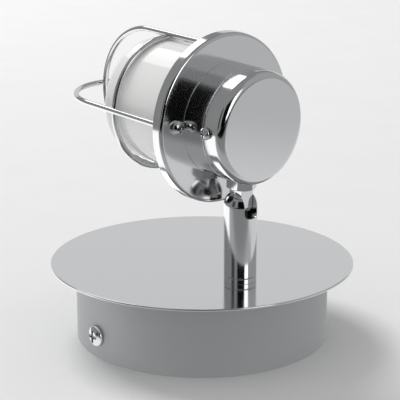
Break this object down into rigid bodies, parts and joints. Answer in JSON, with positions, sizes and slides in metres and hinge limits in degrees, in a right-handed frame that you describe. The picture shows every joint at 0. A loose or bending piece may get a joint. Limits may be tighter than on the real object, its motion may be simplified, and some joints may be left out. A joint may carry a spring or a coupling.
{
  "type": "pivoting spotlight wall light",
  "caption": "Small wall spotlight: round plate on a grey cup, slotted swivel stem, chrome drum head with a dished flange, opal glass cylinder and a wire cage.",
  "frame": {"origin": "midway between the two wall slots, on the face of the bracket that meets the wall", "axes": "+Z out of the wall, +X along the line through the two side screws and the two wall slots"},
  "size_m": [0.12, 0.12, 0.1239],
  "materials": {
    "chrome": "mirror polished",
    "satin_grey": "satin metallic",
    "zinc_steel": "zinc plated",
    "spring_steel": "blued",
    "brass": "plain",
    "black_rubber": "matt",
    "white_plastic": "matt",
    "nylon": "matt",
    "ceramic": "glazed",
    "clear_glass": "clear",
    "opal_glass": "white opal, satin outside",
    "lead_insulation": "matt",
    "earth_insulation": "matt"
  },
  "bodies": {
    "base": {"base_cup": "satin_grey", "cover_plate": "chrome", "plate_nuts": "zinc_steel", "wall_bracket": "zinc_steel", "side_screws": "chrome", "cable_grommet": "black_rubber", "terminal_block": "white_plastic", "terminal_sleeves": "brass", "terminal_screws": "zinc_steel", "terminal_block_screw": "zinc_steel", "earth_screw": "brass", "earth_tag": "brass", "earth_lead": "earth_insulation", "base_leads": "lead_insulation", "stop_pin": "zinc_steel", "swivel_collar": "chrome", "friction_washer": "nylon"},
    "stem": {"stop_washer": "zinc_steel", "disc_spring": "spring_steel", "swivel_nut": "zinc_steel", "threaded_nipple": "zinc_steel", "knuckle_tube": "chrome", "pivot_pin": "chrome", "stem_leads": "lead_insulation"},
    "head": {"pivot_tongue": "chrome", "stem_nut": "chrome", "stem_inner_nut": "zinc_steel", "head_body": "chrome", "rear_cap": "chrome", "cap_screws": "chrome", "flange_dish": "chrome", "flange_screws": "chrome", "mounting_ring": "zinc_steel", "holder_screws": "zinc_steel", "lampholder": "ceramic", "holder_contacts": "brass", "bulb_base": "ceramic", "bulb_pins": "zinc_steel", "bulb_envelope": "clear_glass", "glass_collar": "white_plastic", "glass_gasket": "black_rubber", "opal_glass": "opal_glass", "cage_ring": "chrome", "cage_loop_vertical": "chrome", "cage_loop_horizontal": "chrome", "head_leads": "lead_insulation"}
  },
  "joints": [
    {"name": "swivel", "type": "hinge", "parent": "base", "child": "stem", "pos_m": [-0.00493, -0.0301, 0.0302], "axis": [0, 0, 1], "range_deg": [-165, 165]},
    {"name": "tilt", "type": "hinge", "parent": "stem", "child": "head", "pos_m": [-0.00493, -0.0301, 0.0594], "axis": [0.9962, 0.0872, 0], "range_deg": [-25, 85]}
  ]
}
